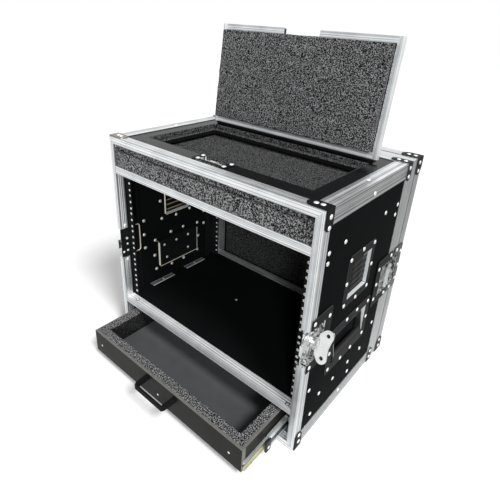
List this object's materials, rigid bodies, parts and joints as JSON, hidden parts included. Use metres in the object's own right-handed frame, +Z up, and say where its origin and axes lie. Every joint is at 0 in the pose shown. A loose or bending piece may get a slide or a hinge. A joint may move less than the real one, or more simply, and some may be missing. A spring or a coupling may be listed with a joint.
{
  "type": "mixer rack case",
  "caption": "Flight case with a rack bay, a foam-lined mixer well under a hinged hatch, a pull-out drawer, butterfly latches, folding handles and a lift-off rear lid.",
  "frame": {"origin": "on the floor under the middle of the case as pictured, with the drawer 104 mm out and the rear lid on", "axes": "+X to the right seen from the open rack bay, +Y to the back towards the rear lid, +Z up"},
  "size_m": [0.5756, 0.5242, 0.7216],
  "materials": {
    "black_laminate": "gloss black laminate on plywood",
    "aluminium": "satin anodised extrusion",
    "black_steel": "black powder coat on pressed steel",
    "zinc_steel": "bright zinc-plated steel",
    "foam": "matte charcoal open-cell foam",
    "black_grip": "black moulded grip on zinc-plated arms",
    "drawer_ply": "dark grey laminate on plywood"
  },
  "bodies": {
    "case": {"left_panel": "black_laminate", "right_panel": "black_laminate", "bottom_panel": "black_laminate", "top_panel": "black_laminate", "shelf_panel": "black_laminate", "well_floor_panel": "black_laminate", "well_foam": "foam", "front_frame_upper": "aluminium", "front_frame_lower": "aluminium", "shelf_edge": "aluminium", "well_edge": "aluminium", "side_edge_top_left": "aluminium", "side_edge_top_right": "aluminium", "side_edge_bottom_left": "aluminium", "side_edge_bottom_right": "aluminium", "rear_frame": "aluminium", "corner_brace_top_left": "black_steel", "corner_brace_top_right": "black_steel", "corner_brace_bottom_left": "black_steel", "corner_brace_bottom_right": "black_steel", "rack_rail_front_left": "black_steel", "rack_rail_front_right": "black_steel", "rack_rail_rear_left": "black_steel", "rack_rail_rear_right": "black_steel", "vent_dish_left": "black_steel", "vent_dish_right": "black_steel", "handle_dish_left": "black_steel", "handle_dish_right": "black_steel", "latch_dish_front_left": "black_steel", "latch_dish_front_right": "black_steel", "latch_dish_rear_left": "black_steel", "latch_dish_rear_right": "black_steel", "latch_dish_hatch": "black_steel", "hinge_leaf": "black_steel", "slide_outer_left": "zinc_steel", "slide_outer_right": "zinc_steel"},
    "drawer": {"drawer_box": "drawer_ply", "drawer_foam": "foam", "drawer_handle": "black_steel", "slide_inner_left": "zinc_steel", "slide_inner_right": "zinc_steel"},
    "slide_middles": {"slide_middle_left": "zinc_steel", "slide_middle_right": "zinc_steel"},
    "hatch": {"hatch_panel": "black_laminate", "hatch_foam": "foam", "hatch_edging": "aluminium"},
    "rear_lid": {"rear_lid_box": "black_laminate", "rear_lid_frame": "aluminium", "rear_lid_foam": "foam"},
    "hatch_latch_wing": {"latch_wing_hatch": "zinc_steel"},
    "front_rotor_left": {"latch_rotor_front_left": "zinc_steel"},
    "front_wing_left": {"latch_wing_front_left": "zinc_steel"},
    "front_drawbar_left": {"latch_drawbar_front_left": "zinc_steel"},
    "rear_wing_left": {"latch_wing_rear_left": "zinc_steel"},
    "handle_left": {"handle_bail_left": "black_grip"},
    "front_rotor_right": {"latch_rotor_front_right": "zinc_steel"},
    "front_wing_right": {"latch_wing_front_right": "zinc_steel"},
    "front_drawbar_right": {"latch_drawbar_front_right": "zinc_steel"},
    "rear_wing_right": {"latch_wing_rear_right": "zinc_steel"},
    "handle_right": {"handle_bail_right": "black_grip"}
  },
  "joints": [
    {"name": "drawer_slide", "type": "slide", "parent": "case", "child": "drawer", "axis": [0, -1, 0], "range_m": [-0.104, 0.176]},
    {"name": "slide_middles", "type": "slide", "parent": "case", "child": "slide_middles", "axis": [0, -1, 0], "range_m": [-0.052, 0.088]},
    {"name": "hatch_hinge", "type": "hinge", "parent": "case", "child": "hatch", "pos_m": [0, 0.14215, 0.5014], "axis": [-1, 0, 0], "range_deg": [-97, 0]},
    {"name": "rear_lid_pull_off", "type": "slide", "parent": "case", "child": "rear_lid", "axis": [0, 1, 0], "range_m": [0, 0.15]},
    {"name": "front_latch_turn_left", "type": "hinge", "parent": "case", "child": "front_rotor_left", "pos_m": [-0.2603, -0.09685, 0.2463], "axis": [-1, 0, 0], "range_deg": [-23, 157]},
    {"name": "front_latch_fold_left", "type": "hinge", "parent": "front_rotor_left", "child": "front_wing_left", "pos_m": [-0.2633, -0.09685, 0.2463], "axis": [0, -0.3907, -0.9205], "range_deg": [0, 90]},
    {"name": "front_drawbar_slide_left", "type": "slide", "parent": "case", "child": "front_drawbar_left", "axis": [0, -1, 0], "range_m": [-0.01049, 0.00155]},
    {"name": "rear_latch_turn_left", "type": "hinge", "parent": "case", "child": "rear_wing_left", "pos_m": [-0.2603, 0.17515, 0.2463], "axis": [1, 0, 0], "range_deg": [0, 180]},
    {"name": "handle_swing_left", "type": "hinge", "parent": "case", "child": "handle_left", "pos_m": [-0.2503, 0.04215, 0.2058], "axis": [0, 1, 0], "range_deg": [0, 90], "stiffness_Nm_per_rad": 0.15, "springref_deg": -22.92},
    {"name": "front_latch_turn_right", "type": "hinge", "parent": "case", "child": "front_rotor_right", "pos_m": [0.2603, -0.09685, 0.2463], "axis": [1, 0, 0], "range_deg": [-157, 23]},
    {"name": "front_latch_fold_right", "type": "hinge", "parent": "front_rotor_right", "child": "front_wing_right", "pos_m": [0.2633, -0.09685, 0.2463], "axis": [0, 0.3907, 0.9205], "range_deg": [0, 90]},
    {"name": "front_drawbar_slide_right", "type": "slide", "parent": "case", "child": "front_drawbar_right", "axis": [0, -1, 0], "range_m": [-0.01049, 0.00155]},
    {"name": "rear_latch_turn_right", "type": "hinge", "parent": "case", "child": "rear_wing_right", "pos_m": [0.2603, 0.17515, 0.2463], "axis": [1, 0, 0], "range_deg": [0, 180]},
    {"name": "handle_swing_right", "type": "hinge", "parent": "case", "child": "handle_right", "pos_m": [0.2503, 0.04215, 0.2058], "axis": [0, -1, 0], "range_deg": [0, 90], "stiffness_Nm_per_rad": 0.15, "springref_deg": -22.92},
    {"name": "hatch_latch_turn", "type": "hinge", "parent": "case", "child": "hatch_latch_wing", "pos_m": [0, -0.07935, 0.4986], "axis": [0, 0, 1], "range_deg": [0, 180]}
  ],
  "couplings": [
    {"joint": "slide_middles", "follows": "drawer_slide", "ratio": 0.5},
    {"joint": "front_drawbar_slide_right", "follows": "front_latch_turn_right", "m_per_rad": 0.00382},
    {"joint": "front_drawbar_slide_left", "follows": "front_latch_turn_left", "m_per_rad": -0.00382}
  ]
}
